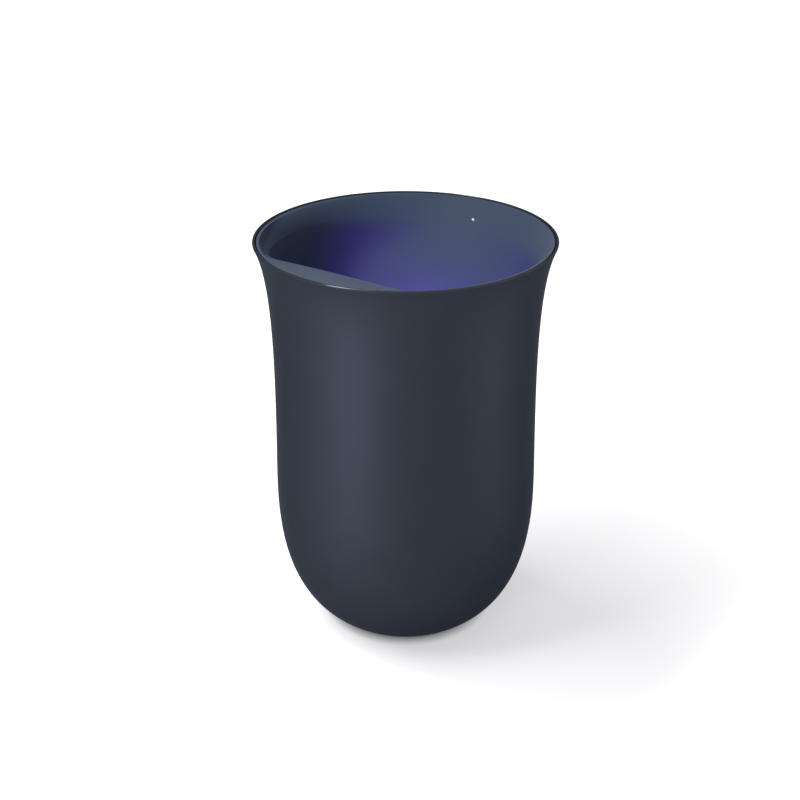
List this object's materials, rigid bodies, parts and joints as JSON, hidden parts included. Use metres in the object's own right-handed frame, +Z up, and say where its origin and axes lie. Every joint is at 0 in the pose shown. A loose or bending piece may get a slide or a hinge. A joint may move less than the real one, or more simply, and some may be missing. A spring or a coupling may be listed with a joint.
{
  "type": "phone sanitizer and charging pot",
  "caption": "Flared round pot that stands on a narrow foot and holds a leaning phone in an inner slot, to charge it and clean it with ultraviolet light; rear push button and inlet.",
  "frame": {"origin": "middle of the foot, on the surface the pot stands on", "axes": "+Z up along the pot's axis, -Y the front with the inner ledge, +Y the rear with the button and the inlet, X across the slot"},
  "size_m": [0.129, 0.129, 0.18],
  "materials": {
    "shell": "soft matt moulded plastic, dark slate blue",
    "liner": "satin moulded plastic, slate blue",
    "dark_plastic": "plain black moulded plastic",
    "rubber": "matt silicone rubber",
    "steel": "plated steel",
    "aluminium": "plain aluminium",
    "circuit_board": "green solder mask",
    "white_board": "white solder mask",
    "copper": "lacquered copper wire",
    "ferrite": "sintered ferrite, dull black",
    "window_glass": "clear quartz glass",
    "lamp": "lit violet lamp package",
    "light_pipe": "clear moulded pipe, lit white",
    "lead_jacket": "soft jacketed lead"
  },
  "bodies": {
    "housing": {"outer_shell": "shell", "inner_liner": "liner", "rest_pad": "rubber", "status_light_pipe": "light_pipe", "status_led_board": "white_board", "foot_pad": "rubber", "base_plate": "dark_plastic", "base_screw_1": "steel", "base_screw_2": "steel", "base_screw_3": "steel", "base_screw_4": "steel", "ballast_plate": "steel", "button_switch": "dark_plastic", "rear_board": "circuit_board", "rear_board_screw_1": "steel", "rear_board_screw_2": "steel", "usb_c_receptacle": "steel", "usb_c_tongue": "dark_plastic", "charging_coil": "copper", "ferrite_plate": "ferrite", "coil_carrier": "aluminium", "carrier_screw_1": "steel", "carrier_screw_2": "steel", "carrier_screw_3": "steel", "carrier_screw_4": "steel", "main_board": "circuit_board", "main_board_screw_1": "steel", "main_board_screw_2": "steel", "main_board_screw_3": "steel", "main_board_screw_4": "steel", "uv_window": "window_glass", "uv_led_1": "lamp", "uv_led_2": "lamp", "uv_led_board": "white_board", "uv_heat_sink": "aluminium", "uv_screw_1": "steel", "uv_screw_2": "steel", "uv_lead": "lead_jacket", "power_lead": "lead_jacket", "status_lead": "lead_jacket"},
    "button": {"power_button": "shell", "switch_stem": "dark_plastic"}
  },
  "joints": [
    {"name": "button_press", "type": "slide", "parent": "housing", "child": "button", "axis": [0, -1, 0], "range_m": [0, 0.0008], "stiffness_N_per_m": 2000}
  ]
}
